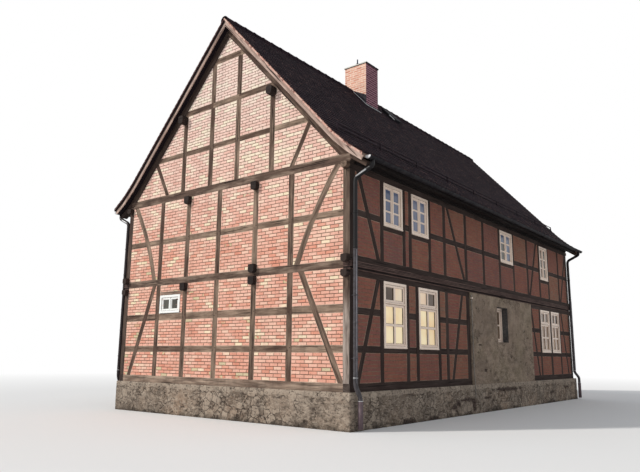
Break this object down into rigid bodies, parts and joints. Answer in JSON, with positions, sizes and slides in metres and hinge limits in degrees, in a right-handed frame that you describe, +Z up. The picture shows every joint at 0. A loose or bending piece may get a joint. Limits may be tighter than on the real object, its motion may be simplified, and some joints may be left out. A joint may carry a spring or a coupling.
{
  "type": "half timbered house",
  "caption": "Two-storey half-timbered house with brick panels, a masonry plinth, a plastered wall stretch and a steep flared roof with a chimney.",
  "frame": {"origin": "on the ground in the middle of the house", "axes": "+X along the street front towards the far gable, +Y from the street front to the back, +Z up"},
  "size_m": [15.8838, 9.5686, 11.9812],
  "materials": {
    "rubble_render": "rough rubble masonry under worn render",
    "floor_timber": "boarded beam floors",
    "wall_plaster": "grey-brown rough plaster",
    "front_timber": "near-black weathered timber",
    "gable_timber": "grey-brown weathered timber",
    "front_brick": "dark red brick with pale mortar",
    "gable_brick": "salmon and cream brick with pale mortar",
    "roof_tile": "very dark brown plain clay tiles",
    "zinc_sheet": "dull grey zinc sheet",
    "chimney_brick": "salmon brick",
    "chimney_concrete": "pale cement slab",
    "window_paint": "cream white paint on wood",
    "window_glass": "clear window glass"
  },
  "bodies": {
    "root": {"plinth_front": "rubble_render", "plinth_back": "rubble_render", "plinth_near_gable": "rubble_render", "plinth_far_gable": "rubble_render", "ground_floor": "floor_timber", "upper_floor": "floor_timber", "attic_floor": "floor_timber", "rendered_wall": "wall_plaster", "front_frame_ground_near": "front_timber", "front_frame_ground_far": "front_timber", "front_frame_upper": "front_timber", "back_frame_ground": "front_timber", "back_frame_upper": "front_timber", "front_storey_moulding": "front_timber", "back_storey_moulding": "front_timber", "front_eaves_cornice": "front_timber", "back_eaves_cornice": "front_timber", "near_gable_frame": "gable_timber", "near_gable_truss": "gable_timber", "far_gable_frame": "gable_timber", "far_gable_truss": "gable_timber", "storey_girders": "gable_timber", "attic_girders": "gable_timber", "roof_purlins": "gable_timber", "near_barge_boards": "gable_timber", "far_barge_boards": "gable_timber", "front_infill": "front_brick", "back_infill": "front_brick", "near_gable_infill": "gable_brick", "far_gable_infill": "gable_brick", "roof_front": "roof_tile", "roof_back": "roof_tile", "ridge_tiles": "roof_tile", "front_gutter": "zinc_sheet", "back_gutter": "zinc_sheet", "front_downpipes": "zinc_sheet", "back_downpipes": "zinc_sheet", "chimney_flashing": "zinc_sheet", "roof_hatch": "zinc_sheet", "snow_guards": "zinc_sheet", "chimney_stack": "chimney_brick", "chimney_cap": "chimney_concrete", "ground_window_frames": "window_paint", "upper_window_frames": "window_paint", "gable_window_frames": "window_paint", "window_glass": "window_glass"}
  },
  "joints": []
}
